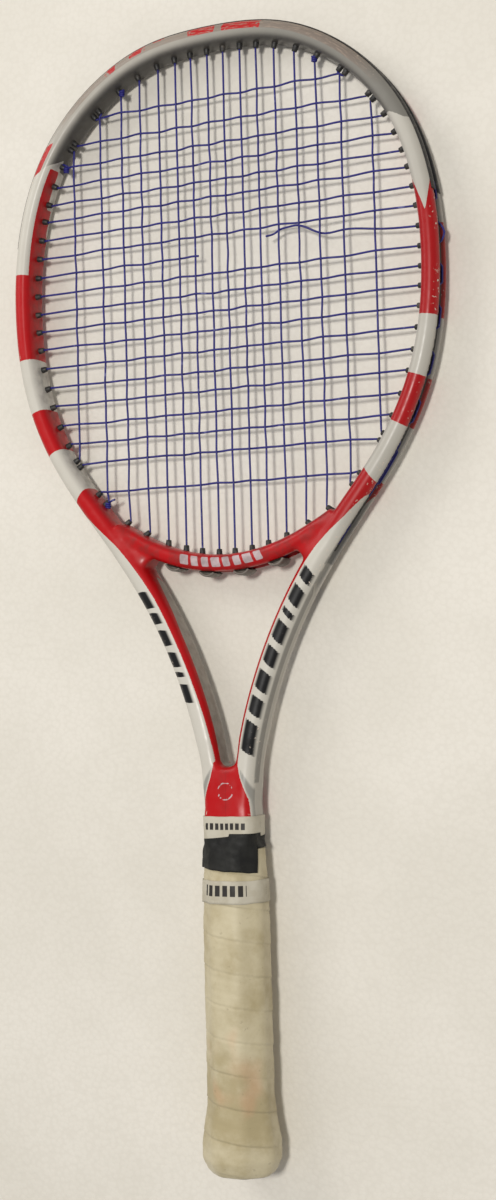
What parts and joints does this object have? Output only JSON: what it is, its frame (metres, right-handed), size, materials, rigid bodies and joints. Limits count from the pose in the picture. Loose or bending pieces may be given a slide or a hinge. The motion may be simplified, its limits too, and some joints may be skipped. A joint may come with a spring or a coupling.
{
  "type": "tennis racket",
  "caption": "Full-length strung tennis racket with a round head, open throat, wrapped octagonal handle and a snap-in door in the butt cap.",
  "frame": {"origin": "Middle of the flat end of the butt cap, on the handle's axis.", "axes": "The racket lies flat: +Y runs from butt to tip, +X across the face to the right, +Z out of the string plane."},
  "size_m": [0.2823, 0.6859, 0.041],
  "materials": {
    "painted_graphite": "gloss paint in white, red and grey over a graphite composite shell",
    "black_nylon": "moulded black nylon",
    "string_blue": "smooth dark blue monofilament",
    "pallet_foam": "moulded rigid foam",
    "cap_plastic": "moulded black plastic",
    "door_plastic": "moulded red plastic",
    "base_grip": "cushioned synthetic grip tape",
    "overgrip": "soiled off-white overgrip tape",
    "white_tape": "thin white adhesive tape",
    "black_tape": "black adhesive tape"
  },
  "bodies": {
    "racket": {"racket_frame": "painted_graphite", "bumper_guard": "black_nylon", "grommet_strip_left": "black_nylon", "grommet_strip_right": "black_nylon", "grommet_strip_throat": "black_nylon", "main_string": "string_blue", "cross_string_upper": "string_blue", "cross_string_lower": "string_blue", "handle_pallet": "pallet_foam", "butt_cap": "cap_plastic", "base_grip": "base_grip", "overgrip": "overgrip", "tape_band_lower": "white_tape", "black_tape_wrap": "black_tape", "finishing_tape_upper": "white_tape"},
    "door": {"trap_door": "door_plastic"}
  },
  "joints": [
    {"name": "trap_door_slide", "type": "slide", "parent": "racket", "child": "door", "axis": [0, -1, 0], "range_m": [0, 0.01]}
  ]
}
